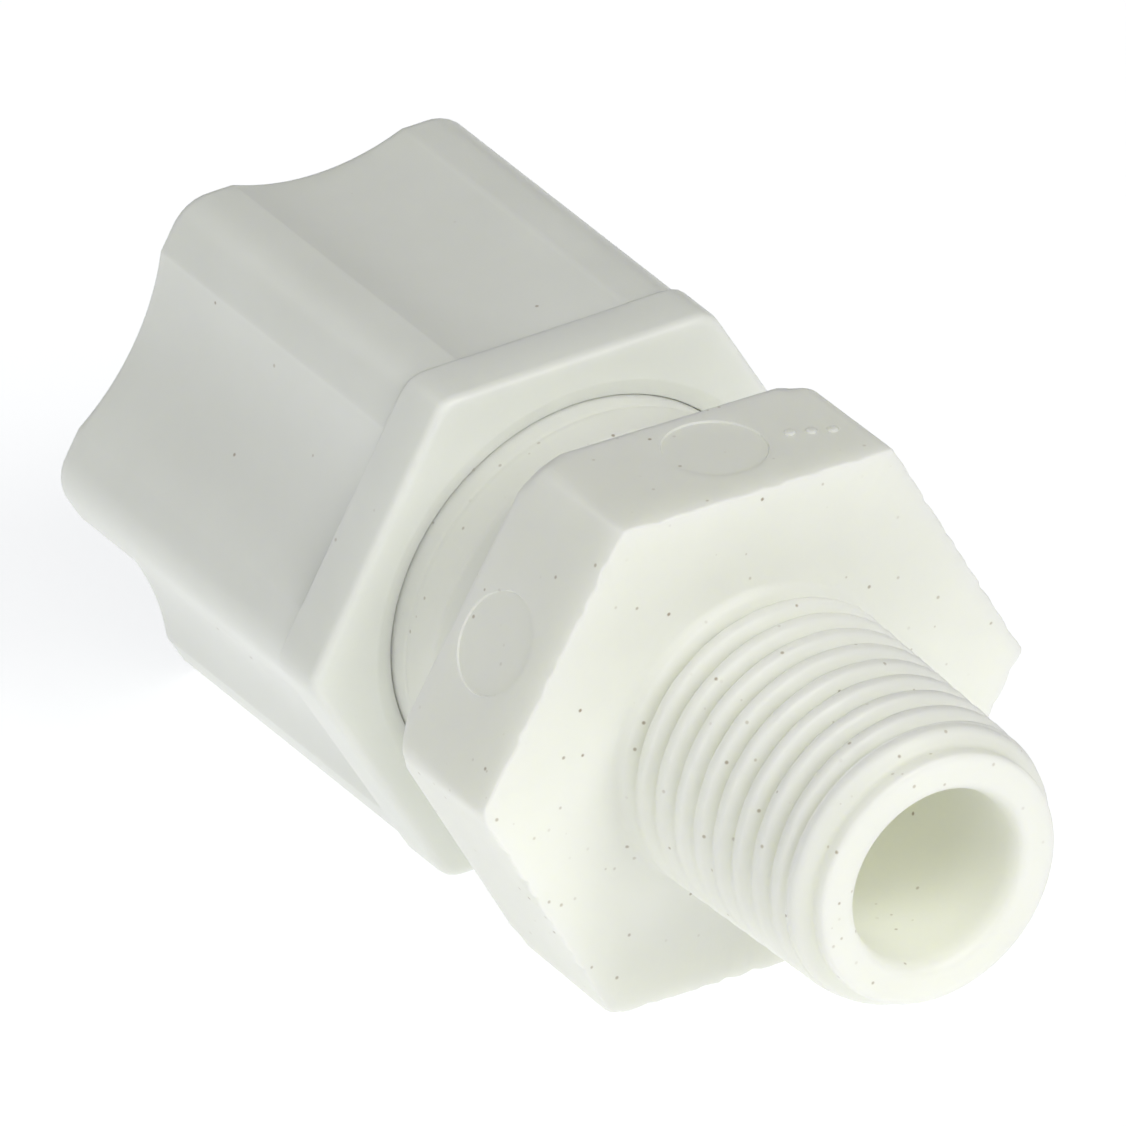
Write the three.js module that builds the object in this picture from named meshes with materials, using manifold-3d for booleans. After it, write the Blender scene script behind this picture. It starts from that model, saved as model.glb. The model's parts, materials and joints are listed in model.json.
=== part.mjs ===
// Male connector for plastic tube: a compression fitting with a tapered pipe thread.
//
// Millimetres, +Z up. The fitting lies along X: the pipe thread points to +X and the tube
// goes in from -X. The origin is on the axis, half way between the two end faces.
// Lengths in the constants are measured from the hex face that the pipe thread stands on,
// so "seat" coordinates are positive on the thread side and negative on the tube side.

import * as THREE from "three";
import { mergeVertices } from "three/addons/utils/BufferGeometryUtils.js";
import Module from "manifold-3d";

const wasm = await Module();
wasm.setup();

// ---------------------------------------------------------------- driving dimensions

const INCH = 25.4;
const ROUND_SEGMENTS = 36;
const THREAD_SEGMENTS = 30;
const CORNER_SEGMENTS = 4;

// How far joined solids run into each other, how far cutting tools run past a face, and
// how far a clipping solid stands off the surfaces that it leaves alone.
const OVERLAP = 0.5;
const OVERRUN = 1.0;
const CLIP_MARGIN = 0.15;

// Share of a quarter round's radius between its middle point and each of its two tangents.
const ARC_MIDDLE = 1 - Math.SQRT1_2;

const noseEnd = 14.3;
const tubeEnd = -34.0;
const originFromSeat = (noseEnd + tubeEnd) / 2;

// Hexagons of the body and of the nut, measured across the flats.
const acrossFlats = 23.5;
const bodyHexThickness = 7.0;
const bodyCornerRadius = 0.15;
const bodyCornerChamfer = 0.55;

// 1/4-18 NPT external thread, moulded with broad rounded crests.
const pipePitch = INCH / 18;
const pipeTaper = 1 / 32;
const pipeCrestRadius = 6.97;
const pipeThreadDepth = 0.75;
const pipeThreadEnd = 12.45;
const pipeFirstGroove = 0.42;
const pipeGrooveTop = 0.42;
const pipeGrooveFloor = 0.07;
const footRadius = 7.55;
const footHeight = 0.35;
const footTopRadius = 7.07;

// Nose beyond the pipe thread: a short conical land, then a smaller pilot.
const landRadius = 6.42;
const landRunIn = 0.05;
const landEnd = 12.95;
const pilotRadius = 5.84;
const pilotFoot = 13.45;
const pilotRound = 0.4;

// Passage through the body.
const flowRadius = 4.0;
const mouthRadius = 4.25;
const mouthDepth = 0.3;
const socketRadius = 4.85;
const tubeStop = -9.0;

// Smooth boss behind the hex, and the 14 per inch thread that the nut runs on.
const bossRadius = 9.4;
const bossNeckRadius = 9.15;
const bossNeckEnd = -9.0;
const bossStep = 0.2;
const bossRunOut = 0.5;
const nutPitch = INCH / 14;
const bodyThreadStart = -13.9;
const bodyEnd = -24.0;
const bodyThreadCrest = 9.2;
const bodyThreadRoot = 8.45;
const bodyEndInset = 0.25;
const bodyRidgeCrestHalf = 0.2;
const bodyRidgeRootHalf = 0.6;
const threadLeadIn = 0.9;

// Pocket for the seal in the tube end of the body.
const pocketRadius = 6.88;
const pocketFloor = -20.4;
const pocketMouthChamfer = 0.35;

// Nut: a full hex collar at its open end, then six scooped flanks.
const nutFront = -13.3;
const collarWidth = 2.85;
const flankInset = 0.12;
const nutTurnAtRest = THREE.MathUtils.degToRad(1.7);
const cornerRadius = 1.0;
const scoopDepth = 0.8;
const scoopShare = 0.63;
const scoopSteps = 8;
const nutEdgeRound = 0.6;
const skirtRadius = 9.62;
const skirtMouthRadius = 10.2;
const skirtMouthDepth = 0.45;
const nutThreadStart = -17.4;
const nutThreadEnd = -27.2;
const nutThreadClearance = 0.13;
const nutThreadCrest = 8.62;
const nutThreadRoot = 9.42;
const toolUndercut = 0.3;
const coneStart = -27.4;
const coneStartRadius = 8.45;
const coneEnd = -32.6;
const coneEndRadius = 6.5;
const tubeHoleRadius = 4.95;
const tubeHoleMouth = 5.55;
const tubeHoleChamfer = 0.6;

// Split ring that bites on the tube, inside the nut's cone.
const gripperFront = -28.2;
const gripperBack = -32.2;
const gripperGap = 0.2;
const gripperToothTip = 4.8;
const gripperToothRoot = 5.3;
const gripperTeeth = 4;
const gripperToothLean = 0.85;
const gripperChamfer = 0.2;
const gripperSplit = 1.3;
const gripperSlit = 0.7;
const gripperSlitCount = 6;
const gripperSlitDepth = 2.6;

// Sleeve that the ring pushes against the seal.
const sleeveTip = -25.35;
const sleeveShoulder = -27.2;
const sleeveBack = -28.0;
const sleeveNoseRadius = 6.7;
const sleeveFlangeRadius = 7.85;
const sleeveBoreRadius = 4.9;
const sleeveChamfer = 0.3;

// O-ring.
const ringCentreX = -21.45;
const ringCentreRadius = 5.88;
const ringSectionRadius = 0.95;
const ringSectionSides = 10;

// ---------------------------------------------------------------- building blocks

// Makes a geometry a solid that can be cut and joined, leaving out triangles without area.
function toSolid(geometry) {
  const bare = geometry.clone();
  bare.deleteAttribute("normal");
  bare.deleteAttribute("uv");
  const merged = mergeVertices(bare, 1e-5);
  const index = merged.index.array;
  const kept = [];
  for (let i = 0; i < index.length; i += 3) {
    const [a, b, c] = [index[i], index[i + 1], index[i + 2]];
    if (a !== b && b !== c && c !== a) {
      kept.push(a, b, c);
    }
  }
  const vertProperties = new Float32Array(merged.attributes.position.array);
  const triVerts = new Uint32Array(kept);
  return new wasm.Manifold(new wasm.Mesh({ numProp: 3, vertProperties, triVerts }));
}

// Makes a solid a geometry again.
function toGeometry(solid) {
  const mesh = solid.getMesh();
  const geometry = new THREE.BufferGeometry();
  geometry.setAttribute("position", new THREE.BufferAttribute(new Float32Array(mesh.vertProperties), 3));
  geometry.setIndex(new THREE.BufferAttribute(new Uint32Array(mesh.triVerts), 1));
  const flat = geometry.toNonIndexed();
  flat.computeVertexNormals();
  return flat;
}

// A solid turned about X. The profile is a list of [x, radius] points, given so that the
// outer side runs towards +X.
function turned(profile, segments = ROUND_SEGMENTS) {
  const points = profile.map(([x, radius]) => new THREE.Vector2(radius, x));
  const closed = profile[0][1] > 0;
  if (closed) {
    points.push(points[0].clone());
  }
  const geometry = new THREE.LatheGeometry(points, segments);
  geometry.rotateZ(-Math.PI / 2);
  geometry.rotateX(-Math.PI / 2);
  return toSolid(geometry);
}

// A solid rod about the axis that ends at the profile's own first and last x.
function turnedRod(profile, segments = ROUND_SEGMENTS) {
  const first = profile[0][0];
  const last = profile[profile.length - 1][0];
  return turned([[first, 0], ...profile, [last, 0]], segments);
}

// An outline in the YZ plane, extruded along X from one x to a larger one.
function prism(shape, fromX, toX) {
  const geometry = new THREE.ExtrudeGeometry(shape, {
    depth: toX - fromX,
    bevelEnabled: false,
    curveSegments: CORNER_SEGMENTS,
  });
  const axes = new THREE.Matrix4().makeBasis(
    new THREE.Vector3(0, 1, 0),
    new THREE.Vector3(0, 0, 1),
    new THREE.Vector3(1, 0, 0),
  );
  geometry.applyMatrix4(axes);
  geometry.translate(fromX, 0, 0);
  return toSolid(geometry);
}

// A rod with a right-hand helical thread. The form lists [offset along X, height above the
// root] for one pitch, and rootRadius gives the root at any x. Both ends are ragged turns
// of the helix, which the caller trims with an envelope.
function threadedRod({ pitch, start, turns, form, rootRadius, segments = THREAD_SEGMENTS }) {
  const perTurn = form.length;
  const rows = turns * perTurn + 1;
  const positions = [];
  const triangles = [];
  const vertex = (column, row) => column * rows + row;
  for (let column = 0; column < segments; column += 1) {
    const angle = (2 * Math.PI * column) / segments;
    for (let row = 0; row < rows; row += 1) {
      const [offset, height] = form[row % perTurn];
      const x = start + pitch * (Math.floor(row / perTurn) + column / segments) + offset;
      const radius = rootRadius(x) + height;
      positions.push(x, radius * Math.cos(angle), radius * Math.sin(angle));
    }
  }
  const quad = (a, b, c, d) => triangles.push(a, c, b, a, d, c);
  for (let column = 0; column < segments - 1; column += 1) {
    for (let row = 0; row < rows - 1; row += 1) {
      quad(
        vertex(column, row),
        vertex(column, row + 1),
        vertex(column + 1, row + 1),
        vertex(column + 1, row),
      );
    }
  }
  const last = segments - 1;
  for (let row = 0; row < rows - 1 - perTurn; row += 1) {
    quad(
      vertex(last, row),
      vertex(last, row + 1),
      vertex(0, row + perTurn + 1),
      vertex(0, row + perTurn),
    );
  }
  const lowLoop = [];
  const highLoop = [];
  for (let column = 0; column < segments; column += 1) {
    lowLoop.push(vertex(column, 0));
    highLoop.push(vertex(column, rows - 1));
  }
  for (let row = perTurn; row > 0; row -= 1) {
    lowLoop.push(vertex(0, row));
  }
  for (let row = rows - 2; row >= rows - 1 - perTurn; row -= 1) {
    highLoop.push(vertex(last, row));
  }
  const cap = (loop, x, facesPlusX) => {
    const centre = positions.length / 3;
    positions.push(x, 0, 0);
    loop.forEach((point, i) => {
      const next = loop[(i + 1) % loop.length];
      if (facesPlusX) {
        triangles.push(centre, point, next);
      } else {
        triangles.push(centre, next, point);
      }
    });
  };
  cap(lowLoop, start, false);
  cap(highLoop, start + turns * pitch, true);
  const geometry = new THREE.BufferGeometry();
  geometry.setAttribute("position", new THREE.Float32BufferAttribute(positions, 3));
  geometry.setIndex(triangles);
  return toSolid(geometry);
}

// Subtracts a list of solids from the first one.
function cut(solid, ...tools) {
  return tools.reduce((result, tool) => result.subtract(tool), solid);
}

// Joins a list of solids.
function join(...solids) {
  return solids.reduce((result, solid) => result.add(solid));
}

// ---------------------------------------------------------------- outlines

const apothem = acrossFlats / 2;
const cornerDistance = acrossFlats / Math.sqrt(3);

// A hexagon with rounded corners, turned from level flats. Where depth is above zero, each
// flat is scooped between its corner lands by an arc of that depth.
function hexOutline(halfFlats, turn, cornerRounding, depth) {
  const shape = new THREE.Shape();
  const side = (2 * halfFlats) / Math.sqrt(3);
  const cutBack = cornerRounding * Math.tan(Math.PI / 6);
  const halfScoop = (side * scoopShare) / 2;
  for (let k = 0; k < 6; k += 1) {
    const facing = (k * Math.PI) / 3 + Math.PI / 6 + turn;
    const normal = new THREE.Vector2(Math.cos(facing), Math.sin(facing));
    const along = new THREE.Vector2(-Math.sin(facing), Math.cos(facing));
    const onFlat = (distance, inset) => [
      normal.x * (halfFlats - inset) + along.x * distance,
      normal.y * (halfFlats - inset) + along.y * distance,
    ];
    const flatStart = onFlat(cutBack - side / 2, 0);
    const flatEnd = onFlat(side / 2 - cutBack, 0);
    if (k === 0) {
      shape.moveTo(...flatStart);
    }
    if (depth > 0) {
      const scoopRadius = (halfScoop * halfScoop + depth * depth) / (2 * depth);
      for (let step = 0; step <= scoopSteps; step += 1) {
        const distance = -halfScoop + (2 * halfScoop * step) / scoopSteps;
        const inset = depth - scoopRadius + Math.sqrt(scoopRadius ** 2 - distance ** 2);
        shape.lineTo(...onFlat(distance, inset));
      }
    }
    shape.lineTo(...flatEnd);
    const cornerAngle = facing + Math.PI / 6;
    const centreDistance = side - cornerRounding / Math.cos(Math.PI / 6);
    shape.absarc(
      centreDistance * Math.cos(cornerAngle),
      centreDistance * Math.sin(cornerAngle),
      cornerRounding,
      facing,
      facing + Math.PI / 3,
      false,
    );
  }
  return shape;
}

// ---------------------------------------------------------------- body

function buildBody() {
  const hex = prism(hexOutline(apothem, 0, bodyCornerRadius, 0), -bodyHexThickness, 0);
  const cornerClip = turnedRod([
    [-bodyHexThickness, cornerDistance - bodyCornerChamfer],
    [-bodyHexThickness + bodyCornerChamfer + CLIP_MARGIN, cornerDistance + CLIP_MARGIN],
    [0, cornerDistance + CLIP_MARGIN],
  ]);

  const pipeThread = threadedRod({
    pitch: pipePitch,
    start: pipeFirstGroove - 2 * pipePitch,
    turns: 13,
    form: [
      [-pipeGrooveTop, pipeThreadDepth],
      [-pipeGrooveFloor, 0],
      [pipeGrooveFloor, 0],
      [pipeGrooveTop, pipeThreadDepth],
    ],
    rootRadius: (x) => pipeCrestRadius - pipeTaper * x - pipeThreadDepth,
  });
  const pipeEnvelope = turnedRod([
    [-OVERLAP, cornerDistance],
    [pipeThreadEnd, cornerDistance],
  ]);
  const threadFoot = turnedRod([
    [-OVERLAP, footRadius + OVERLAP],
    [0, footRadius],
    [footHeight, footTopRadius],
    [footHeight + OVERLAP, pipeCrestRadius - pipeThreadDepth - OVERLAP],
  ]);
  const nose = turnedRod([
    [pipeThreadEnd - OVERLAP, landRadius - pipeThreadDepth],
    [pipeThreadEnd - landRunIn, landRadius],
    [landEnd, landRadius],
    [pilotFoot, pilotRadius],
    [noseEnd - pilotRound, pilotRadius],
    [noseEnd - pilotRound * ARC_MIDDLE, pilotRadius - pilotRound * ARC_MIDDLE],
    [noseEnd, pilotRadius - pilotRound],
  ]);

  const boss = turnedRod([
    [bodyThreadStart - bossRunOut, bodyThreadRoot - CLIP_MARGIN],
    [bodyThreadStart, bossRadius],
    [bossNeckEnd - bossStep, bossRadius],
    [bossNeckEnd, bossNeckRadius],
    [-bodyHexThickness + OVERLAP, bossNeckRadius],
  ]);
  const nutThread = threadedRod({
    pitch: nutPitch,
    start: bodyEnd - 1.5 * nutPitch,
    turns: 8,
    form: [
      [-bodyRidgeRootHalf, 0],
      [-bodyRidgeCrestHalf, bodyThreadCrest - bodyThreadRoot],
      [bodyRidgeCrestHalf, bodyThreadCrest - bodyThreadRoot],
      [bodyRidgeRootHalf, 0],
    ],
    rootRadius: () => bodyThreadRoot,
  });
  const nutThreadEnvelope = turnedRod([
    [bodyEnd, bodyThreadRoot - bodyEndInset],
    [bodyEnd + threadLeadIn, bodyThreadCrest + CLIP_MARGIN],
    [bodyThreadStart + OVERLAP, bodyThreadCrest + CLIP_MARGIN],
  ]);

  const passage = turnedRod([
    [bodyEnd - OVERRUN, pocketRadius + pocketMouthChamfer],
    [bodyEnd, pocketRadius + pocketMouthChamfer],
    [bodyEnd + pocketMouthChamfer, pocketRadius],
    [pocketFloor, pocketRadius],
    [pocketFloor, socketRadius],
    [tubeStop, socketRadius],
    [tubeStop, flowRadius],
    [noseEnd - mouthDepth, flowRadius],
    [noseEnd, mouthRadius],
    [noseEnd + OVERRUN, mouthRadius],
  ]);

  const outside = join(
    hex.intersect(cornerClip),
    pipeThread.intersect(pipeEnvelope),
    threadFoot,
    nose,
    boss,
    nutThread.intersect(nutThreadEnvelope),
  );
  return cut(outside, passage);
}

// ---------------------------------------------------------------- compression nut

function buildNut() {
  const collarBack = nutFront - collarWidth;
  const collarOutline = hexOutline(apothem, nutTurnAtRest, cornerRadius, 0);
  const flankOutline = hexOutline(apothem - flankInset, nutTurnAtRest, cornerRadius, scoopDepth);
  const collar = prism(collarOutline, collarBack, nutFront);
  const flanks = prism(flankOutline, tubeEnd, collarBack + OVERLAP);
  const edgeClip = turnedRod([
    [tubeEnd, cornerDistance - nutEdgeRound - flankInset],
    [tubeEnd + nutEdgeRound, cornerDistance + CLIP_MARGIN],
    [nutFront - nutEdgeRound, cornerDistance + CLIP_MARGIN],
    [nutFront, cornerDistance - nutEdgeRound],
  ]);

  const bore = turnedRod([
    [tubeEnd - OVERRUN, tubeHoleMouth],
    [tubeEnd, tubeHoleMouth],
    [tubeEnd + tubeHoleChamfer, tubeHoleRadius],
    [coneEnd, tubeHoleRadius],
    [coneEnd, coneEndRadius],
    [coneStart, coneStartRadius],
    [nutThreadEnd, nutThreadCrest],
    [nutThreadStart, nutThreadCrest],
    [nutThreadStart, skirtRadius],
    [nutFront - skirtMouthDepth, skirtRadius],
    [nutFront, skirtMouthRadius],
    [nutFront + OVERRUN, skirtMouthRadius],
  ]);
  const toolHeight = nutThreadRoot - nutThreadCrest + toolUndercut;
  const toolCrestHalf = bodyRidgeCrestHalf + nutThreadClearance;
  const toolRootHalf = bodyRidgeRootHalf + nutThreadClearance + toolUndercut / 2;
  const threadTool = threadedRod({
    pitch: nutPitch,
    start: bodyEnd - 3.5 * nutPitch,
    turns: 9,
    form: [
      [-toolRootHalf, 0],
      [-toolCrestHalf, toolHeight],
      [toolCrestHalf, toolHeight],
      [toolRootHalf, 0],
    ],
    rootRadius: () => nutThreadRoot - toolHeight,
  });
  const threadEnvelope = turnedRod([
    [nutThreadEnd, nutThreadCrest - 2 * toolUndercut],
    [nutThreadEnd + threadLeadIn, nutThreadRoot + CLIP_MARGIN],
    [nutThreadStart + CLIP_MARGIN, nutThreadRoot + CLIP_MARGIN],
  ]);

  const outside = join(collar, flanks).intersect(edgeClip);
  return cut(outside, bore, threadTool.intersect(threadEnvelope));
}

// ---------------------------------------------------------------- inner rings

// Radius of the nut's cone at any x.
function coneRadius(x) {
  return THREE.MathUtils.mapLinear(x, coneEnd, coneStart, coneEndRadius, coneStartRadius);
}

function buildGripper() {
  const toothPitch = (gripperFront - gripperBack) / gripperTeeth;
  const teeth = [];
  for (let tooth = 0; tooth < gripperTeeth; tooth += 1) {
    const front = gripperFront - tooth * toothPitch;
    teeth.push([front, gripperToothRoot], [front - toothPitch * gripperToothLean, gripperToothTip]);
  }
  const ring = turned([
    [gripperBack, gripperToothRoot],
    [gripperBack, coneRadius(gripperBack) - gripperGap - gripperChamfer],
    [gripperBack + gripperChamfer, coneRadius(gripperBack + gripperChamfer) - gripperGap],
    [gripperFront, coneRadius(gripperFront) - gripperGap],
    ...teeth,
  ]);
  const slit = (width, fromX, toX, angle) => {
    const box = new THREE.BoxGeometry(toX - fromX, width, coneStartRadius);
    box.translate((fromX + toX) / 2, 0, coneStartRadius / 2);
    box.rotateX(angle);
    return toSolid(box);
  };
  const slits = [slit(gripperSplit, gripperBack - OVERRUN, gripperFront + OVERRUN, 0)];
  for (let k = 1; k < gripperSlitCount; k += 1) {
    const angle = (k * 2 * Math.PI) / gripperSlitCount;
    slits.push(slit(gripperSlit, gripperBack - OVERRUN, gripperBack + gripperSlitDepth, angle));
  }
  return cut(ring, ...slits);
}

function buildSleeve() {
  return turned([
    [sleeveBack, sleeveBoreRadius + sleeveChamfer],
    [sleeveBack, sleeveFlangeRadius],
    [sleeveShoulder, sleeveFlangeRadius],
    [sleeveShoulder, sleeveNoseRadius],
    [sleeveTip - sleeveChamfer, sleeveNoseRadius],
    [sleeveTip, sleeveNoseRadius - sleeveChamfer],
    [sleeveTip, sleeveBoreRadius],
    [sleeveBack + sleeveChamfer, sleeveBoreRadius],
  ]);
}

function buildRing() {
  const section = [];
  for (let side = 0; side < ringSectionSides; side += 1) {
    const angle = Math.PI - (2 * Math.PI * side) / ringSectionSides;
    section.push([
      ringCentreX + ringSectionRadius * Math.cos(angle),
      ringCentreRadius + ringSectionRadius * Math.sin(angle),
    ]);
  }
  return turned(section);
}

// ---------------------------------------------------------------- assembly

function plastic(color, roughness) {
  return new THREE.MeshStandardMaterial({ color, roughness, metalness: 0 });
}

const naturalWhite = plastic(0xe9eae2, 0.5);
const nutWhite = plastic(0xe2e5dc, 0.5);
const gripperWhite = plastic(0xf2f1ea, 0.35);
const sleeveWhite = plastic(0xdfe3da, 0.45);
const sealBlack = plastic(0x17181a, 0.7);

const fitting = new THREE.Group();
fitting.position.x = -originFromSeat;

function addPart(name, solid, material) {
  const mesh = new THREE.Mesh(toGeometry(solid), material);
  mesh.name = name;
  fitting.add(mesh);
}

addPart("body", buildBody(), naturalWhite);
addPart("compression_nut", buildNut(), nutWhite);
addPart("gripper_ring", buildGripper(), gripperWhite);
addPart("ferrule_sleeve", buildSleeve(), sleeveWhite);
addPart("o_ring", buildRing(), sealBlack);

export default fitting;
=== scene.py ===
"""Looks of a male connector for plastic tube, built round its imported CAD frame.

The fitting lies along X. Lengths are millimetres along the axis from the seat, which is the hex
face that the pipe thread stands on, and radii from the axis. A skin is a closed surface made of
rings round the axis, one point per column, and place() turns it into metres in the row frame.
"""

import json
import math

import bpy
import numpy as np
from mathutils import Matrix, Vector


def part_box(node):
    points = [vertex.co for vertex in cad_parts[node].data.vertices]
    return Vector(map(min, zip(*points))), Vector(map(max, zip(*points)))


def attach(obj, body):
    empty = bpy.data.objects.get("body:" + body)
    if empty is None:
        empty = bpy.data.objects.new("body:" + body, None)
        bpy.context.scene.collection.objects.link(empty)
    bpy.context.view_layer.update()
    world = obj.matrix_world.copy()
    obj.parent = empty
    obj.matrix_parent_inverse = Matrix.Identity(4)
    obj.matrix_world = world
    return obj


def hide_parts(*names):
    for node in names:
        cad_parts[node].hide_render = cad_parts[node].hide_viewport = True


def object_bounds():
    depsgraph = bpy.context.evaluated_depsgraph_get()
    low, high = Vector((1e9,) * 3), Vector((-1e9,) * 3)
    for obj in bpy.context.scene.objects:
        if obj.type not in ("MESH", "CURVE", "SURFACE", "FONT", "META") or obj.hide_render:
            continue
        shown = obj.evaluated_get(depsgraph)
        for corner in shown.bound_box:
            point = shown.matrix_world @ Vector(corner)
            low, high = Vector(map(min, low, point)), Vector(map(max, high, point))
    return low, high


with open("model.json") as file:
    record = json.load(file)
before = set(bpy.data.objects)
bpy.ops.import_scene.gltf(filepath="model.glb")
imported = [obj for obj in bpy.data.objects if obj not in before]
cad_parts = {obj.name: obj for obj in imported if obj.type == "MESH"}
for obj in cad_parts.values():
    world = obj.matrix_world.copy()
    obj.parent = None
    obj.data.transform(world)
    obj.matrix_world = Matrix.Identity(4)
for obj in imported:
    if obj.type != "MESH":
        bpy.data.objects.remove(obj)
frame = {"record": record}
cad_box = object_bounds()

# ---------------------------------------------------------------- sizes from the frame

MM = 0.001
MOUNTS = {mount["name"]: mount for mount in frame["record"]["mounts"]}
SEAT_X = MOUNTS["thread_shoulder"]["pos_m"][0]


def seat_mm(x):
    """Millimetres from the seat of a place on the axis in metres."""
    return (x - SEAT_X) / MM


def span(node):
    """Where a CAD node starts and ends along the axis, in millimetres from the seat."""
    low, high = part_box(node)
    return seat_mm(low.x), seat_mm(high.x)


BODY_END, NOSE_END = span("body")
NUT_END, NUT_FRONT = span("compression_nut")
GRIPPER_BACK, GRIPPER_FRONT = span("gripper_ring")
SLEEVE_BACK, SLEEVE_TIP = span("ferrule_sleeve")
SEAL_START, SEAL_END = span("o_ring")
HALF_FLATS = MOUNTS["body_flat_top"]["pos_m"][2] / MM
NUT_FACING = MOUNTS["nut_flat_top"]["axis"]
NUT_TURN = math.atan2(NUT_FACING[2], NUT_FACING[1]) - math.pi / 2
FLOOR_Z = cad_box[0].z

# ---------------------------------------------------------------- driving sizes, mm and radians

INCH = 25.4
SIDE = 2 * HALF_FLATS / math.sqrt(3)
COLUMNS = 204

HEX_THICKNESS = 7.0
HEX_CORNER_FRONT = 0.3
HEX_CORNER_REAR = 1.1
HEX_EDGE = 0.14
EDGE_BITE = 0.09
HEX_REAR_CHAMFER = 0.6

PIPE_PITCH = INCH / 18
PIPE_TAPER = 1 / 32
PIPE_CREST = 6.97
PIPE_DEPTH = 0.75
PIPE_END = 12.45
PIPE_FIRST_GROOVE = 0.42
PIPE_GROOVE_TOP = 0.44
PIPE_GROOVE_FLOOR = 0.06
PIPE_CROWN = 0.05
PARTING = math.radians(225)
FADED_SHARE = 0.07
FADE_START = math.radians(16)
FADE_END = math.radians(92)
FLASH_BEARING = math.radians(51)
FLASH_WIDTH = math.radians(6)
FLASH_HEIGHT = 0.07
THREAD_WANDER = 0.035
PIPE_ROW = 0.1
FOOT_RADIUS = 7.55
FOOT_RUN = 0.16

LAND_RADIUS = 6.45
LAND_END = 12.95
PILOT_RADIUS = 5.84
PILOT_FOOT = 13.45
FLOW_RADIUS = 4.0
MOUTH_RADIUS = 4.3
SOCKET_RADIUS = 4.85
TUBE_STOP = -9.0
POCKET_RADIUS = 6.88
POCKET_FLOOR = -20.4

BOSS_RADIUS = 9.32
BOSS_NECK_RADIUS = 9.22
BOSS_NECK_END = -10.5
BOSS_LINE = -12.55
BOSS_LINE_HALF = 0.15
BOSS_LINE_DEPTH = 0.04
BOSS_THREAD_START = -13.9

NUT_PITCH = INCH / 14
RIDGE_CREST = 9.2
RIDGE_ROOT = 8.45
RIDGE_CREST_HALF = 0.2
RIDGE_ROOT_HALF = 0.6
THREAD_LEAD_IN = 0.9
RIDGE_START_DROP = 0.25
GROOVE_END_DROP = 0.6
LEAD_IN_OVERRUN = 0.15
NUT_ROW = 0.2

COLLAR_WIDTH = 2.85
NUT_CORNER_ROUND = 2.0
COLLAR_CORNER_ROUND = 1.2
FLANK_INSET = 0.12
SCOOP_DEPTH = 0.8
SCOOP_SHARE = 0.63
SKIRT_RADIUS = 9.62
SKIRT_MOUTH = 10.2
SKIRT_MOUTH_DEPTH = 0.3
SKIRT_LIP_RADIUS = 9.36
SKIRT_LIP_END = -13.95
NUT_THREAD_START = -17.4
NUT_THREAD_END = -27.2
NUT_BORE = 8.62
NUT_GROOVE = 9.42
NUT_GROOVE_FLOOR_HALF = 0.33
NUT_GROOVE_TOP_HALF = 0.73
CONE_START = -27.4
CONE_START_RADIUS = 8.45
CONE_END = -32.6
CONE_END_RADIUS = 6.5
TUBE_HOLE = 4.95
TUBE_HOLE_MOUTH = 5.55
TUBE_HOLE_CHAMFER = 0.6

SLEEVE_BORE = 4.9
SLEEVE_NOSE_RADIUS = 6.7
SLEEVE_FLANGE_RADIUS = 7.85
SLEEVE_FLANGE_WIDTH = 0.8

SEAL_MIDDLE_RADIUS = 5.88
SEAL_POINTS = 36
SEAL_FLASH = 0.012

GRIPPER_GAP = 0.2
GRIPPER_TEETH = 4
GRIPPER_TOOTH_TIP = 4.8
GRIPPER_TOOTH_ROOT = 5.3
GRIPPER_SLOTS = 6
GRIPPER_SPLIT_WIDTH = 1.3
GRIPPER_SPLIT_REACH = 6.0
GRIPPER_SLOT_WIDTH = 0.7
GRIPPER_SLOT_REACH = 2.6

MARK_RADIUS = 2.3
MARK_DEPTH = 0.08
PIP_START = (-3.45, -3.8)
PIP_STEP = (0.35, -0.85)

RING_COLUMNS = 240
LONGEST_STEP = 1.1

# ---------------------------------------------------------------- skins


def column_angles(turn, extra, columns=COLUMNS):
    """Angles round the axis from +Y towards +Z, evenly spaced, with more of them at the extra
    angles from each hex corner. They are radians."""
    even = np.arange(columns) * 360 / columns
    corners = np.arange(6) * 60
    close = [corner + side * step for corner in corners for step in extra for side in (-1, 1)]
    every = np.unique(np.round(np.concatenate([even, np.mod(close, 360)]), 4))
    return np.radians(every) + turn


def soften(profile, steps=5):
    """Rings of a closed profile. Each entry is (x, radius, rounding): a corner is rounded over
    that length of the two lines that meet in it. x and radius may differ from column to column."""
    rings = []
    for i, (x, radius, rounding) in enumerate(profile):
        here = np.stack(np.broadcast_arrays(np.asarray(x, float), np.asarray(radius, float)))
        if not rounding:
            rings.append(here)
            continue
        ends = []
        for other in (profile[i - 1], profile[(i + 1) % len(profile)]):
            there = np.stack(np.broadcast_arrays(*(np.asarray(v, float) for v in other[:2])))
            here_wide, there_wide = np.broadcast_arrays(
                here.reshape(2, -1), there.reshape(2, -1)
            )
            run = there_wide - here_wide
            length = np.maximum(np.hypot(run[0], run[1]), 1e-9)
            ends.append(here_wide + run * np.minimum(rounding / length, 0.48))
        middle = here.reshape(2, -1)
        for step in range(steps + 1):
            t = step / steps
            rings.append((1 - t) ** 2 * ends[0] + 2 * t * (1 - t) * middle + t * t * ends[1])
    return rings


def divide(rings, longest, columns):
    """The rings with more between any two that lie further apart than longest."""
    wide = [np.broadcast_to(ring.reshape(2, -1), (2, columns)) for ring in rings]
    made = []
    for i, ring in enumerate(wide):
        made.append(ring)
        after = wide[(i + 1) % len(wide)]
        gap = np.hypot(*(after - ring)).mean()
        count = int(gap // longest)
        for step in range(1, count + 1):
            t = step / (count + 1)
            made.append((1 - t) * ring + t * after)
    return np.array(made)


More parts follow.
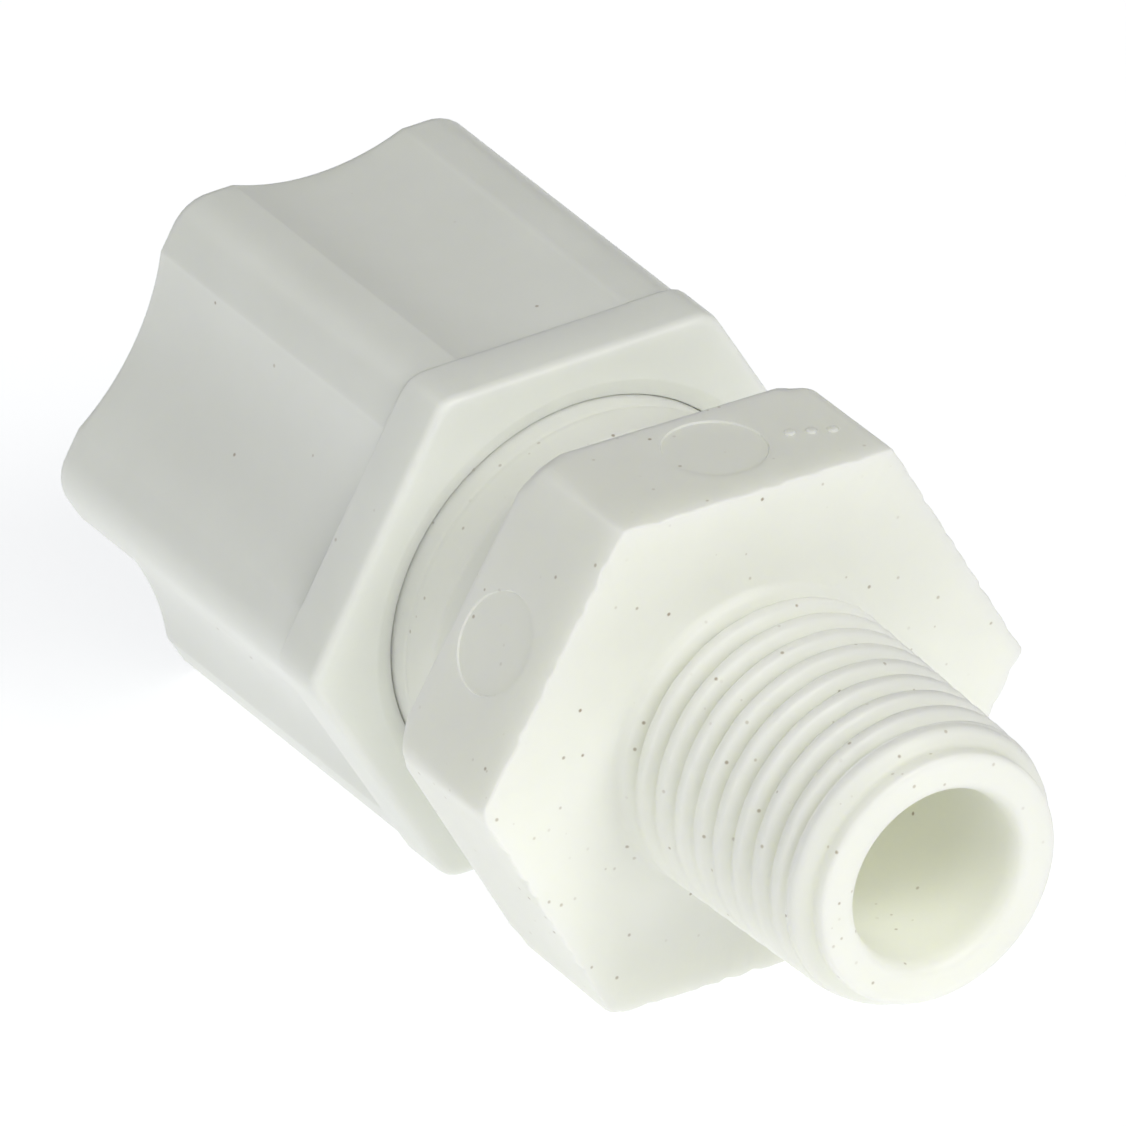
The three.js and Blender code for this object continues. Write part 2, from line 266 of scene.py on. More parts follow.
def place(x, radius, angle):
    """Points in the row frame, in metres."""
    return np.stack(
        [SEAT_X + x * MM, radius * np.cos(angle) * MM, radius * np.sin(angle) * MM], axis=-1
    )


def make_mesh(name, points, faces, material):
    """A smooth-shaded object whose flat areas stay flat."""
    mesh = bpy.data.meshes.new(name)
    mesh.from_pydata([tuple(p) for p in points], [], faces)
    mesh.polygons.foreach_set("use_smooth", [True] * len(mesh.polygons))
    mesh.materials.append(material)
    mesh.update()
    piece = bpy.data.objects.new(name, mesh)
    bpy.context.scene.collection.objects.link(piece)
    weighted = piece.modifiers.new("flat_areas", "WEIGHTED_NORMAL")
    weighted.keep_sharp = True
    return piece


def skin_object(name, rings, angles, material):
    """A closed surface through rings of shape (rows, 2, columns), joined end to end."""
    rows, columns = rings.shape[0], len(angles)
    points = place(rings[:, 0, :], rings[:, 1, :], angles[None, :]).reshape(-1, 3)
    row, column = np.meshgrid(np.arange(rows), np.arange(columns), indexing="ij")
    next_row, next_column = (row + 1) % rows, (column + 1) % columns
    faces = np.stack(
        [
            row * columns + column,
            row * columns + next_column,
            next_row * columns + next_column,
            next_row * columns + column,
        ],
        axis=-1,
    ).reshape(-1, 4)
    return make_mesh(name, points, faces.tolist(), material)


def smoothstep(low, high, value):
    t = np.clip((value - low) / (high - low), 0, 1)
    return t * t * (3 - 2 * t)


def ripple(angles, seed, slowest, fastest):
    """A wavy value of about -1 to 1 round the axis, the same on every run."""
    random = np.random.RandomState(seed)
    value = np.zeros_like(angles)
    for wave in range(slowest, fastest + 1):
        value += np.cos(wave * angles + random.uniform(0, 2 * math.pi)) * random.uniform(0.3, 1)
    return value / math.sqrt(max(1, (fastest - slowest + 1) * 0.25)) / 1.6


def wave_offset(x, angles, pitch, first):
    """How far along the axis a place is from the nearest turn of a right-hand helix."""
    distance = x - first - pitch * angles / (2 * math.pi)
    return np.abs(np.mod(distance + pitch / 2, pitch) - pitch / 2)


# ---------------------------------------------------------------- outlines


def hex_radius(angles, half_flats, corner_round):
    """Distance from the axis to a hexagon with rounded corners and level flats."""
    from_flat = np.mod(angles, math.pi / 3) - math.pi / 6
    flat = half_flats / np.cos(from_flat)
    from_corner = math.pi / 6 - np.abs(from_flat)
    centre = (half_flats - corner_round) / math.cos(math.pi / 6)
    across = np.clip(corner_round**2 - (centre * np.sin(from_corner)) ** 2, 0, None)
    rounded = centre * np.cos(from_corner) + np.sqrt(across)
    tangent = math.atan((half_flats - corner_round) * math.tan(math.pi / 6) / half_flats)
    return np.where(np.abs(from_flat) > tangent, rounded, flat)


def scooped_radius(angles, half_flats, corner_round):
    """Distance from the axis to the nut's outline, whose flats are hollowed between lands."""
    outline = hex_radius(angles, half_flats, corner_round)
    from_flat = np.mod(angles, math.pi / 3) - math.pi / 6
    half_scoop = SIDE * SCOOP_SHARE / 2
    bend = (half_scoop**2 + SCOOP_DEPTH**2) / (2 * SCOOP_DEPTH)
    along = half_flats * np.tan(from_flat)
    for _ in range(8):
        inside = np.sqrt(bend**2 - np.clip(np.abs(along), 0, half_scoop) ** 2)
        hollow = np.clip(SCOOP_DEPTH - bend + inside, 0, None)
        along = (half_flats - hollow) * np.tan(from_flat)
    scooped = (half_flats - hollow) / np.cos(from_flat)
    return np.where(np.abs(along) < half_scoop, scooped, outline)


# ---------------------------------------------------------------- materials


def node(tree, kind, **inputs):
    """A shader node with the values of its named inputs set."""
    made = tree.nodes.new(kind)
    for key, value in inputs.items():
        made.inputs[key.replace("_", " ")].default_value = value
    return made


def plastic(name, colour, specks, roughness, grain, translucence, reach):
    """Moulded plastic: faint mottling, a fine satin grain, shallow flow marks, and dark specks
    in the given share of its cells. Light spreads through it by about the reach, in mm."""
    material = bpy.data.materials.new(name)
    material.use_nodes = True
    tree = material.node_tree
    link = tree.links.new
    shader = tree.nodes["Principled BSDF"]
    shader.inputs["IOR"].default_value = 1.49
    shader.inputs["Subsurface Weight"].default_value = translucence
    shader.inputs["Subsurface Radius"].default_value = (1.0, 1.0, 0.8)
    shader.inputs["Subsurface Scale"].default_value = reach * MM
    where = tree.nodes.new("ShaderNodeTexCoord")

    mottle = node(tree, "ShaderNodeTexNoise", Scale=170.0, Detail=3.0, Roughness=0.55)
    link(where.outputs["Object"], mottle.inputs["Vector"])
    tint = tree.nodes.new("ShaderNodeValToRGB")
    tint.color_ramp.elements[0].position = 0.3
    tint.color_ramp.elements[0].color = (*(c * 0.975 for c in colour), 1)
    tint.color_ramp.elements[1].position = 0.7
    tint.color_ramp.elements[1].color = (*(min(1, c * 1.012) for c in colour), 1)
    link(mottle.outputs["Fac"], tint.inputs["Fac"])

    askew = tree.nodes.new("ShaderNodeMapping")
    askew.inputs["Rotation"].default_value = (0.5, 0.7, 0.3)
    askew.inputs["Location"].default_value = (0.3, 0.7, 0.2)
    link(where.outputs["Object"], askew.inputs["Vector"])
    cells = tree.nodes.new("ShaderNodeTexVoronoi")
    cells.inputs["Scale"].default_value = 1300.0
    link(askew.outputs["Vector"], cells.inputs["Vector"])
    chosen = node(tree, "ShaderNodeSeparateColor")
    link(cells.outputs["Color"], chosen.inputs["Color"])
    is_speck = tree.nodes.new("ShaderNodeMath")
    is_speck.operation = "LESS_THAN"
    is_speck.inputs[1].default_value = specks
    link(chosen.outputs["Red"], is_speck.inputs[0])
    spot = tree.nodes.new("ShaderNodeMapRange")
    spot.inputs["From Min"].default_value = 0.06
    spot.inputs["From Max"].default_value = 0.14
    spot.inputs["To Min"].default_value = 1.0
    spot.inputs["To Max"].default_value = 0.0
    link(cells.outputs["Distance"], spot.inputs["Value"])
    amount = tree.nodes.new("ShaderNodeMath")
    amount.operation = "MULTIPLY"
    link(is_speck.outputs[0], amount.inputs[0])
    link(spot.outputs["Result"], amount.inputs[1])
    strength = tree.nodes.new("ShaderNodeMath")
    strength.operation = "MULTIPLY"
    link(amount.outputs[0], strength.inputs[0])
    link(chosen.outputs["Green"], strength.inputs[1])
    speckled = tree.nodes.new("ShaderNodeMix")
    speckled.data_type = "RGBA"
    link(strength.outputs[0], speckled.inputs["Factor"])
    link(tint.outputs["Color"], speckled.inputs["A"])
    speckled.inputs["B"].default_value = (0.36, 0.3, 0.21, 1)
    link(speckled.outputs["Result"], shader.inputs["Base Color"])

    patches = node(tree, "ShaderNodeTexNoise", Scale=420.0, Detail=2.0)
    link(where.outputs["Object"], patches.inputs["Vector"])
    satin = tree.nodes.new("ShaderNodeMapRange")
    satin.inputs["To Min"].default_value = roughness - 0.06
    satin.inputs["To Max"].default_value = roughness + 0.08
    link(patches.outputs["Fac"], satin.inputs["Value"])
    link(satin.outputs["Result"], shader.inputs["Roughness"])

    fine = node(tree, "ShaderNodeTexNoise", Scale=5200.0, Detail=2.0, Roughness=0.6)
    link(where.outputs["Object"], fine.inputs["Vector"])
    flow = node(tree, "ShaderNodeTexNoise", Scale=380.0, Detail=3.0)
    link(where.outputs["Object"], flow.inputs["Vector"])
    flow_bump = tree.nodes.new("ShaderNodeBump")
    flow_bump.inputs["Strength"].default_value = 0.5
    flow_bump.inputs["Distance"].default_value = 0.02 * MM
    link(flow.outputs["Fac"], flow_bump.inputs["Height"])
    fine_bump = tree.nodes.new("ShaderNodeBump")
    fine_bump.inputs["Strength"].default_value = grain
    fine_bump.inputs["Distance"].default_value = 0.006 * MM
    link(fine.outputs["Fac"], fine_bump.inputs["Height"])
    link(flow_bump.outputs["Normal"], fine_bump.inputs["Normal"])
    link(fine_bump.outputs["Normal"], shader.inputs["Normal"])
    return material


BODY_PLASTIC = plastic(
    "body_plastic",
    (0.87, 0.88, 0.81),
    specks=0.5,
    roughness=0.42,
    grain=0.6,
    translucence=0.75,
    reach=1.7,
)
NUT_PLASTIC = plastic(
    "nut_plastic",
    (0.85, 0.865, 0.81),
    specks=0.03,
    roughness=0.38,
    grain=0.5,
    translucence=0.5,
    reach=1.1,
)
GRIPPER_PLASTIC = plastic(
    "gripper_plastic",
    (0.9, 0.9, 0.87),
    specks=0.0,
    roughness=0.28,
    grain=0.2,
    translucence=0.2,
    reach=1.1,
)
SLEEVE_PLASTIC = plastic(
    "sleeve_plastic",
    (0.82, 0.84, 0.8),
    specks=0.01,
    roughness=0.4,
    grain=0.4,
    translucence=0.4,
    reach=1.1,
)
SEAL_RUBBER = plastic(
    "seal_rubber",
    (0.02, 0.02, 0.022),
    specks=0.0,
    roughness=0.6,
    grain=0.8,
    translucence=0.0,
    reach=1.0,
)

# ---------------------------------------------------------------- body


def groove_strength(angles):
    """How deep the pipe thread is cut round the axis. It fades out at the parting line."""
    from_parting = np.abs(np.mod(angles - PARTING + math.pi, 2 * math.pi) - math.pi)
    return FADED_SHARE + (1 - FADED_SHARE) * smoothstep(FADE_START, FADE_END, from_parting)


def pipe_thread(angles):
    """Rings of the tapered pipe thread, from its foot on the hex face to the land."""
    strength = groove_strength(angles)
    flash_side = np.exp(-(((angles - FLASH_BEARING) / FLASH_WIDTH) ** 2))
    rings = []
    for x in np.arange(0.1, PIPE_END, PIPE_ROW):
        crest = PIPE_CREST - PIPE_TAPER * x
        wander = THREAD_WANDER * np.sin(23 * angles + 5 * x) * np.sin(7 * angles - 3 * x)
        offset = wave_offset(x, angles, PIPE_PITCH, PIPE_FIRST_GROOVE)
        offset = np.abs(offset + wander * (1.2 - strength))
        top = PIPE_GROOVE_TOP + 0.12 * (1 - strength)
        share = np.clip((top - offset) / (top - PIPE_GROOVE_FLOOR), 0, 1)
        groove = 0.55 * share + 0.45 * share * share * (3 - 2 * share)
        to_edge = np.clip((offset - top) / (PIPE_PITCH / 2 - top), 0, 1)
        crown = PIPE_CROWN * (1 - to_edge) ** 2 * strength
        foot = (FOOT_RADIUS - crest) * math.exp(-x / FOOT_RUN)
        cut = PIPE_DEPTH * strength * groove * smoothstep(0.15, 0.75, x)
        nick = np.clip(np.sin(8.1 * x + 1) * np.sin(47 * angles), 0, 1)
        flash = FLASH_HEIGHT * flash_side * nick * (1 - share)
        radius = crest + foot - cut - crown + flash
        rings.append((np.full_like(angles, x), radius, 0))
    return rings


def body_thread(angles):
    """Rings of the thread that the nut runs on, from the tube end to the boss."""
    rings = []
    for x in np.arange(BODY_END + 0.12, BOSS_THREAD_START - 0.5, NUT_ROW):
        offset = wave_offset(x, angles, NUT_PITCH, BODY_END + NUT_PITCH / 2)
        share = np.clip(
            (RIDGE_ROOT_HALF - offset) / (RIDGE_ROOT_HALF - RIDGE_CREST_HALF), 0, 1
        )
        ridge = RIDGE_ROOT + (RIDGE_CREST - RIDGE_ROOT) * share
        slope = (x - BODY_END) / THREAD_LEAD_IN
        start = RIDGE_ROOT - RIDGE_START_DROP
        envelope = start + slope * (RIDGE_CREST + LEAD_IN_OVERRUN - start)
        rings.append((np.full_like(angles, x), np.minimum(ridge, envelope), 0))
    return rings


def hex_outline(angles, x):
    """The hex's outline at a place along it. Its corners are softer towards the nut."""
    share = np.clip(-x / HEX_THICKNESS, 0, 1)
    corner = HEX_CORNER_FRONT + (HEX_CORNER_REAR - HEX_CORNER_FRONT) * share
    return hex_radius(angles, HALF_FLATS, corner)


def build_body():
    """The hex body with its two threads, from the tube end round to the bore."""
    angles = column_angles(0.0, (0.25, 0.6, 1.1, 1.7))
    rear = hex_outline(angles, -HEX_THICKNESS + HEX_REAR_CHAMFER)
    clipped = np.minimum(rear, SIDE - HEX_REAR_CHAMFER)
    stations = np.linspace(-HEX_THICKNESS + 1.6, -0.6, 5)
    profile = [
        (BODY_END, POCKET_RADIUS + 0.35, 0.08),
        (BODY_END, RIDGE_ROOT - RIDGE_START_DROP, 0.1),
        *body_thread(angles),
        (BOSS_THREAD_START - 0.5, RIDGE_ROOT - 0.1, 0.1),
        (BOSS_THREAD_START, BOSS_RADIUS, 0.15),
        (BOSS_LINE - BOSS_LINE_HALF, BOSS_RADIUS, 0.1),
        (BOSS_LINE, BOSS_RADIUS - BOSS_LINE_DEPTH, 0.1),
        (BOSS_LINE + BOSS_LINE_HALF, BOSS_RADIUS, 0.1),
        (BOSS_NECK_END - 0.15, BOSS_RADIUS, 0.06),
        (BOSS_NECK_END, BOSS_NECK_RADIUS, 0.06),
        (-HEX_THICKNESS, BOSS_NECK_RADIUS, 0.35),
        (-HEX_THICKNESS, clipped, 0.2),
        (-HEX_THICKNESS + HEX_REAR_CHAMFER, rear, 0.3),
        *((x, hex_outline(angles, x), 0) for x in stations),
        (0.0, hex_outline(angles, 0), HEX_EDGE),
        (0.0, FOOT_RADIUS + 0.5, 0.3),
        (0.02, FOOT_RADIUS + 0.1, 0),
        *pipe_thread(angles),
        (PIPE_END, PIPE_CREST - PIPE_TAPER * PIPE_END - 0.06, 0.05),
        (PIPE_END + 0.06, LAND_RADIUS, 0.05),
        (LAND_END, LAND_RADIUS, 0.3),
        (PILOT_FOOT, PILOT_RADIUS - 0.06, 0.22),
        (PILOT_FOOT + 0.3, PILOT_RADIUS, 0.1),
        (NOSE_END, PILOT_RADIUS, 0.5),
        (NOSE_END, MOUTH_RADIUS, 0.4),
        (NOSE_END - 0.6, FLOW_RADIUS, 0.4),
        (TUBE_STOP, FLOW_RADIUS, 0.1),
        (TUBE_STOP, SOCKET_RADIUS, 0.05),
        (POCKET_FLOOR, SOCKET_RADIUS, 0.1),
        (POCKET_FLOOR, POCKET_RADIUS, 0.15),
        (BODY_END + 0.35, POCKET_RADIUS, 0.1),
    ]
    rings = divide(soften(profile), LONGEST_STEP, len(angles))
    roughen_front_edge(rings, angles)
    body = skin_object("body_visual", rings, angles, BODY_PLASTIC)
    shape_marks(body)
    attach(body, "fitting_body")
    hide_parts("body")


def roughen_front_edge(rings, angles):
    """Nibbles the hex's front edge, as moulding flash leaves it when it is trimmed."""
    x, radius = rings[:, 0, :], rings[:, 1, :]
    by_the_edge = (x > -0.25) & (x < 0.01) & (radius > hex_outline(angles, 0) - 0.25)
    radius -= by_the_edge * EDGE_BITE * np.clip(ripple(angles, 7, 30, 80), 0, 1.5)
    x -= by_the_edge * EDGE_BITE * np.clip(ripple(angles, 8, 25, 75), 0, 1.5)


# ---------------------------------------------------------------- compression nut


def nut_thread(angles):
    """Rings of the thread inside the nut. Its groove runs out through the open end."""
    rings = []
    for x in np.arange(NUT_THREAD_START, NUT_THREAD_END, -NUT_ROW):
        offset = wave_offset(x, angles, NUT_PITCH, BODY_END + NUT_PITCH / 2)
        share = np.clip(
            (NUT_GROOVE_TOP_HALF - offset) / (NUT_GROOVE_TOP_HALF - NUT_GROOVE_FLOOR_HALF), 0, 1
        )
        groove = NUT_BORE + (NUT_GROOVE - NUT_BORE) * share
        slope = (x - NUT_THREAD_END) / THREAD_LEAD_IN
        end = NUT_BORE - GROOVE_END_DROP
        envelope = end + slope * (NUT_GROOVE + LEAD_IN_OVERRUN - end)
        radius = np.maximum(NUT_BORE, np.minimum(groove, envelope))
        rings.append((np.full_like(angles, x), radius, 0))
    return rings


def build_nut():
    """The fluted nut with its hex collar, from the tube end round to the tube hole."""
    angles = column_angles(NUT_TURN, (9.7, 10.0, 10.4))
    level = angles - NUT_TURN
    collar = hex_radius(level, HALF_FLATS, COLLAR_CORNER_ROUND)
    flank = scooped_radius(level, HALF_FLATS - FLANK_INSET, NUT_CORNER_ROUND)
    collar_back = NUT_FRONT - COLLAR_WIDTH
    profile = [
        (NUT_END, TUBE_HOLE_MOUTH, 0.12),
        (NUT_END, flank, 0.5),
        (collar_back, flank, 0.12),
        (collar_back + 0.06, collar, 0.12),
        (NUT_FRONT, collar, 0.5),
        (NUT_FRONT, SKIRT_MOUTH, 0.1),
        (NUT_FRONT - SKIRT_MOUTH_DEPTH, SKIRT_LIP_RADIUS, 0.06),
        (SKIRT_LIP_END, SKIRT_LIP_RADIUS, 0.05),
        (SKIRT_LIP_END - 0.15, SKIRT_RADIUS, 0.05),
        (NUT_THREAD_START, SKIRT_RADIUS, 0.1),
        *nut_thread(angles),
        (NUT_THREAD_END, NUT_BORE, 0),
        (CONE_START, CONE_START_RADIUS, 0.1),
        (CONE_END, CONE_END_RADIUS, 0.1),
        (CONE_END, TUBE_HOLE, 0.1),
        (NUT_END + TUBE_HOLE_CHAMFER, TUBE_HOLE, 0.15),
    ]
    rings = divide(soften(profile), LONGEST_STEP, len(angles))
    nut = skin_object("compression_nut_visual", rings, angles, NUT_PLASTIC)
    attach(nut, "nut")
    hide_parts("compression_nut")


# ---------------------------------------------------------------- inner rings


def build_sleeve():
    """The sleeve that pushes on the seal: a flange at the back and a plain nose."""
    angles = column_angles(0.0, (), RING_COLUMNS)
    shoulder = SLEEVE_BACK + SLEEVE_FLANGE_WIDTH
    profile = [
        (SLEEVE_BACK, SLEEVE_BORE, 0.3),
        (SLEEVE_BACK, SLEEVE_FLANGE_RADIUS, 0.15),
        (shoulder, SLEEVE_FLANGE_RADIUS, 0.15),
        (shoulder, SLEEVE_NOSE_RADIUS, 0.12),
        (SLEEVE_TIP, SLEEVE_NOSE_RADIUS, 0.3),
        (SLEEVE_TIP, SLEEVE_BORE, 0.15),
    ]
    rings = divide(soften(profile), 0.6, len(angles))
    sleeve = skin_object("ferrule_sleeve_visual", rings, angles, SLEEVE_PLASTIC)
    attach(sleeve, "clamp_rings")
    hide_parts("ferrule_sleeve")


def build_seal():
    """The O-ring, with the fine line that its mould leaves inside and out."""
    angles = column_angles(0.0, (), RING_COLUMNS)
    middle = (SEAL_START + SEAL_END) / 2
    around = np.linspace(math.pi, -math.pi, SEAL_POINTS, endpoint=False)
    flash = SEAL_FLASH * np.exp(-((np.abs(around) - math.pi / 2) ** 2) / 0.01)
    section = (SEAL_END - SEAL_START) / 2 + flash
    x = middle + section * np.cos(around)
    radius = SEAL_MIDDLE_RADIUS + section * np.sin(around)
    rings = np.repeat(np.stack([x, radius], axis=1)[:, :, None], len(angles), axis=2)
    seal = skin_object("o_ring_visual", rings, angles, SEAL_RUBBER)
    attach(seal, "fitting_body")
    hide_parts("o_ring")


def cone_radius(x):
    """Radius of the nut's cone at a place along the axis."""
    share = (x - CONE_END) / (CONE_START - CONE_END)
    return CONE_END_RADIUS + share * (CONE_START_RADIUS - CONE_END_RADIUS)


def build_gripper():
    """The split ring: teeth inside, a cone outside, one slot through it and five part way."""
    angles = column_angles(0.0, (), RING_COLUMNS)
    pitch = (GRIPPER_FRONT - GRIPPER_BACK) / GRIPPER_TEETH
    profile = [
        (GRIPPER_BACK, GRIPPER_TOOTH_ROOT, 0.05),
        (GRIPPER_BACK, cone_radius(GRIPPER_BACK) - GRIPPER_GAP, 0.25),
        (GRIPPER_FRONT, cone_radius(GRIPPER_FRONT) - GRIPPER_GAP, 0.15),
    ]
    for tooth in range(GRIPPER_TEETH):
        front = GRIPPER_FRONT - tooth * pitch
        profile.append((front, GRIPPER_TOOTH_ROOT, 0.04))
        profile.append((front - 0.85 * pitch, GRIPPER_TOOTH_TIP, 0.04))
    rings = divide(soften(profile, 3), 0.8, len(angles))
    gripper = skin_object("gripper_ring_visual", rings, angles, GRIPPER_PLASTIC)
    cut_slot(gripper, GRIPPER_SPLIT_WIDTH, GRIPPER_SPLIT_REACH, 0.0)
    for k in range(1, GRIPPER_SLOTS):
        angle = k * 2 * math.pi / GRIPPER_SLOTS
        cut_slot(gripper, GRIPPER_SLOT_WIDTH, GRIPPER_SLOT_REACH, angle)
    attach(gripper, "clamp_rings")
    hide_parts("gripper_ring")


def cut_slot(gripper, width, reach, angle):
    """Cuts a radial slot in the gripper ring from its back, at an angle from +Z about +X."""
    ends = (GRIPPER_BACK - 1.0, GRIPPER_BACK + reach)
    sides = (-width / 2, width / 2)
    heights = (2, 9.5)
    corners = [(x, across, up) for x in ends for across in sides for up in heights]
    turned = [
        (
            SEAT_X + x * MM,
            (across * math.cos(angle) - up * math.sin(angle)) * MM,
            (across * math.sin(angle) + up * math.cos(angle)) * MM,
        )
        for x, across, up in corners
    ]
    faces = [(0, 1, 3, 2), (4, 6, 7, 5), (0, 4, 5, 1), (2, 3, 7, 6), (0, 2, 6, 4), (1, 5, 7, 3)]
    mesh = bpy.data.meshes.new("slot")
    mesh.from_pydata(turned, [], faces)
    cutter = bpy.data.objects.new("slot", mesh)
    bpy.context.scene.collection.objects.link(cutter)
    combine(gripper, cutter, "DIFFERENCE")


# ---------------------------------------------------------------- moulding marks on the body


def round_tool(name, facing, x, along, outline):
    """A closed round solid over a flat of the hex. The outline is (radius, height above the
    flat) from its top down, and along runs round the axis from the flat's middle."""
    normal = Vector((0, math.cos(facing), math.sin(facing)))
    across = Vector((0, -math.sin(facing), math.cos(facing)))
    middle = Vector((SEAT_X + x * MM, 0, 0)) + across * along * MM
    sides = 64
    points, faces = [], []
    for radius, height in outline:
        for k in range(sides):
            turn = 2 * math.pi * k / sides
            flat = Vector((1, 0, 0)) * math.cos(turn) + across * math.sin(turn)
            points.append(middle + flat * radius * MM + normal * (HALF_FLATS + height) * MM)
    for row in range(len(outline) - 1):
        for k in range(sides):
            after = (k + 1) % sides
            high = row * sides
            low = high + sides
            faces.append((high + k, high + after, low + after, low + k))
    faces.append(tuple(range(sides))[::-1])
    faces.append(tuple(range(len(points) - sides, len(points))))
    mesh = bpy.data.meshes.new(name)
    mesh.from_pydata([tuple(p) for p in points], [], faces)
    tool = bpy.data.objects.new(name, mesh)
    bpy.context.scene.collection.objects.link(tool)
    return tool


def combine(piece, tool, operation):
    """Cuts the tool from the piece, or joins it on, and removes the tool."""
    boolean = piece.modifiers.new("shape", "BOOLEAN")
    boolean.operation = operation
    boolean.object = tool
    boolean.solver = "EXACT"
    piece.modifiers.move(len(piece.modifiers) - 1, 0)
    weighted = piece.modifiers["flat_areas"]
    weighted.show_viewport = False
    graph = bpy.context.evaluated_depsgraph_get()
    made = bpy.data.meshes.new_from_object(piece.evaluated_get(graph))
    weighted.show_viewport = True
    piece.modifiers.remove(boolean)
    old = piece.data
    piece.data = made
    bpy.data.meshes.remove(old)
    bpy.data.objects.remove(tool)


def shape_marks(body):
    """Two shallow round ejector marks and three raised pips."""
    top = math.pi / 2
    left = math.radians(150)
    disc = [(MARK_RADIUS, 0.2), (MARK_RADIUS, 0.0), (MARK_RADIUS - 0.05, -MARK_DEPTH)]
    pip = [(0.1, 0.1), (0.2, 0.075), (0.26, 0.02), (0.27, -0.05)]
    combine(body, round_tool("mark_top", top, -4.0, -0.4, disc), "DIFFERENCE")
    combine(body, round_tool("mark_left", left, -4.05, 0.45, disc), "DIFFERENCE")
    for k in range(3):
        x = PIP_START[0] + PIP_STEP[0] * k
        along = PIP_START[1] + PIP_STEP[1] * k
        combine(body, round_tool(f"pip_{k + 1}", top, x, along, pip), "UNION")


# ---------------------------------------------------------------- camera, floor and light, metres

CAMERA_AZIMUTH = math.radians(56.68)
CAMERA_ELEVATION = math.radians(29.93)
CAMERA_ROLL = math.radians(1.1)
CAMERA_DISTANCE = 2.0
CAMERA_LENS = 1523.4
SEAT_RIGHT = 0.00799
SEAT_DOWN = 0.00716

FLOOR_REACH = 2.0
SOFT_BOX_DISTANCE = 0.6
SOFT_BOX_SIZE = 0.35
GLOW_X = SEAT_X + 4.5 * MM
GLOW_WATTS = 0.00013


def build_camera():
    """The camera looks past the seat, which lies right of and below the middle of the view."""
    sin_a, cos_a = math.sin(CAMERA_AZIMUTH), math.cos(CAMERA_AZIMUTH)
    sin_e, cos_e = math.sin(CAMERA_ELEVATION), math.cos(CAMERA_ELEVATION)
    back = Vector((sin_a * cos_e, -cos_a * cos_e, sin_e))
    level = Vector((cos_a, sin_a, 0))
    upright = back.cross(level)
    right = level * math.cos(CAMERA_ROLL) + upright * math.sin(CAMERA_ROLL)
    up = upright * math.cos(CAMERA_ROLL) - level * math.sin(CAMERA_ROLL)
    data = bpy.data.cameras.new("camera")
    data.sensor_width = 36.0
    data.lens = CAMERA_LENS
    data.clip_start, data.clip_end = 0.01, 10.0
    camera = bpy.data.objects.new("camera", data)
    turn = Matrix((right, up, back)).transposed().to_4x4()
    seat = Vector((SEAT_X, 0, 0))
    place_at = seat - right * SEAT_RIGHT + up * SEAT_DOWN + back * CAMERA_DISTANCE
    camera.matrix_world = Matrix.Translation(place_at) @ turn
    bpy.context.scene.collection.objects.link(camera)
    bpy.context.scene.camera = camera


def build_floor():
    """A pale light table."""
    material = bpy.data.materials.new("light_table")
    material.use_nodes = True
    shader = material.node_tree.nodes["Principled BSDF"]
    shader.inputs["Base Color"].default_value = (0.4, 0.4, 0.4, 1)
    shader.inputs["Roughness"].default_value = 0.9
    shader.inputs["Emission Color"].default_value = (0.975, 0.985, 1.0, 1)
    shader.inputs["Emission Strength"].default_value = 0.79
    mesh = bpy.data.meshes.new("floor")
    corners = [(-1, -1), (1, -1), (1, 1), (-1, 1)]
    points = [(x * FLOOR_REACH, y * FLOOR_REACH, FLOOR_Z) for x, y in corners]
    mesh.from_pydata(points, [], [(0, 1, 2, 3)])
    mesh.materials.append(material)
    floor = bpy.data.objects.new("floor", mesh)
    bpy.context.scene.collection.objects.link(floor)


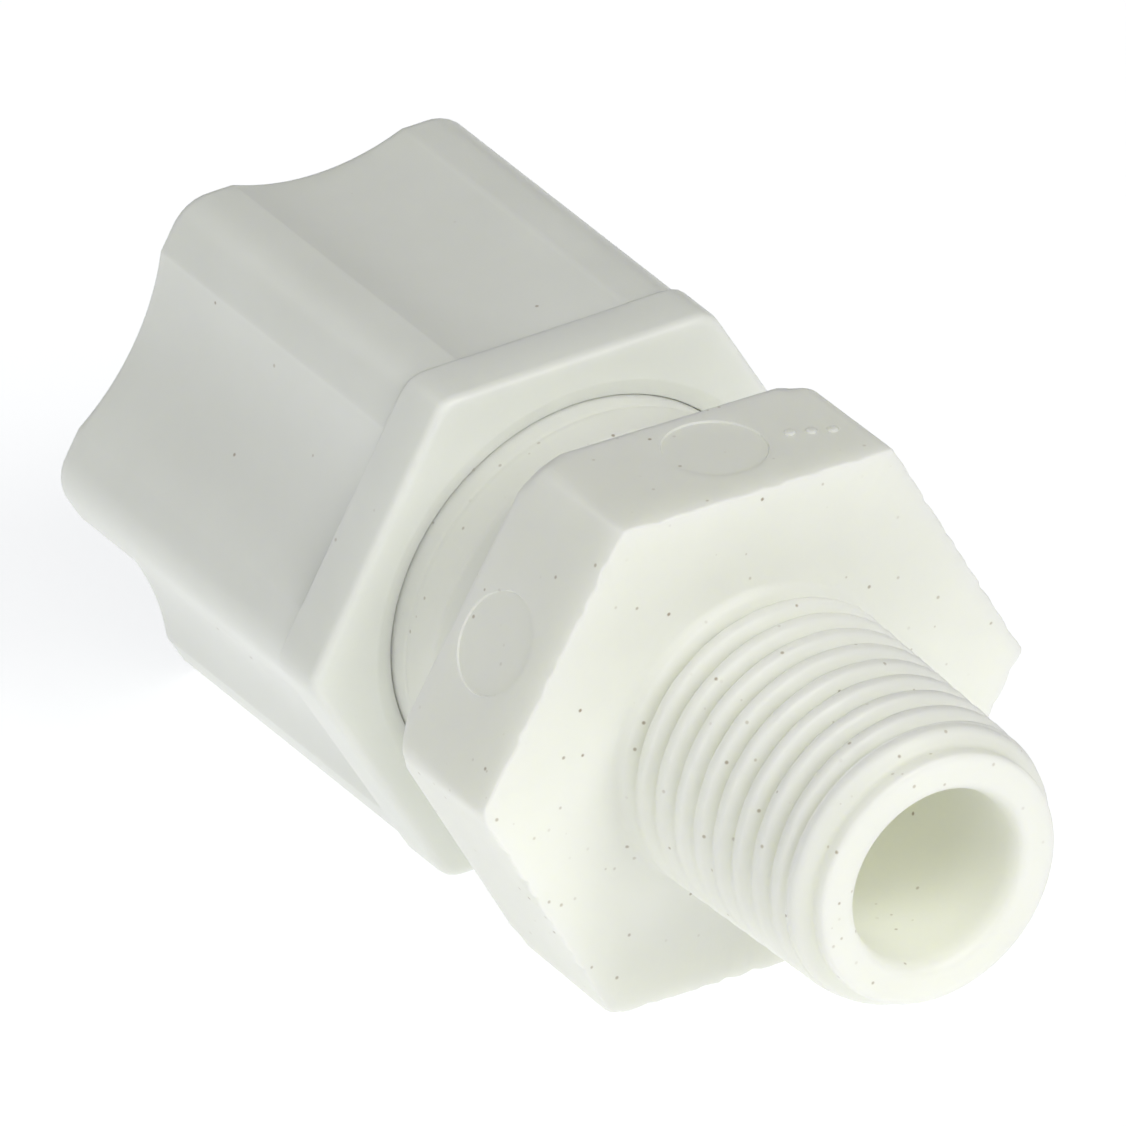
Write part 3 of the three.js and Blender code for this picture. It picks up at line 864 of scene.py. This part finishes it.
def build_world():
    """A dim, even room; the light table and the soft boxes do the rest."""
    world = bpy.data.worlds.new("room")
    bpy.context.scene.world = world
    world.use_nodes = True
    background = world.node_tree.nodes["Background"]
    background.inputs["Color"].default_value = (1.0, 1.0, 1.0, 1)
    background.inputs["Strength"].default_value = 0.03


def soft_light(name, direction, watts, colour):
    """A square soft box that faces the fitting and isn't seen itself."""
    data = bpy.data.lights.new(name, "AREA")
    data.shape = "SQUARE"
    data.size = SOFT_BOX_SIZE
    data.energy = watts
    data.color = colour
    lamp = bpy.data.objects.new(name, data)
    towards = Vector(direction).normalized()
    lamp.location = towards * SOFT_BOX_DISTANCE
    lamp.rotation_mode = "QUATERNION"
    lamp.rotation_quaternion = (-towards).to_track_quat("-Z", "Y")
    lamp.visible_camera = False
    bpy.context.scene.collection.objects.link(lamp)


def build_lights():
    """Soft boxes. Each has a bearing from +X towards +Y and a height above the floor, both in
    degrees, then its watts and its colour."""
    boxes = {
        "key": (18, 44, 1.92, (1.0, 1.0, 0.985)),
        "front": (-33, 48, 0.98, (1.0, 1.0, 0.985)),
        "low_left": (-75, 14, 0.24, (0.97, 0.985, 1.0)),
        "rear_left": (-135, 48, 0.6, (0.97, 0.985, 1.0)),
    }
    for name, (bearing, height, watts, colour) in boxes.items():
        across = math.cos(math.radians(height))
        direction = (
            across * math.cos(math.radians(bearing)),
            across * math.sin(math.radians(bearing)),
            math.sin(math.radians(height)),
        )
        soft_light(name, direction, watts, colour)
    build_glow()
    bpy.context.scene.view_settings.view_transform = "Standard"


def build_glow():
    """A faint lamp in the bore, for the light that gets in through the pale wall."""
    glow = bpy.data.lights.new("glow_through_the_wall", "POINT")
    glow.energy = GLOW_WATTS
    glow.color = (1.0, 1.0, 0.86)
    glow.shadow_soft_size = 2.0 * MM
    lamp = bpy.data.objects.new("glow_through_the_wall", glow)
    lamp.location = (GLOW_X, 0, 0)
    lamp.visible_camera = False
    bpy.context.scene.collection.objects.link(lamp)


build_camera()
build_floor()
build_world()
build_lights()
build_body()
build_nut()
build_sleeve()
build_seal()
build_gripper()
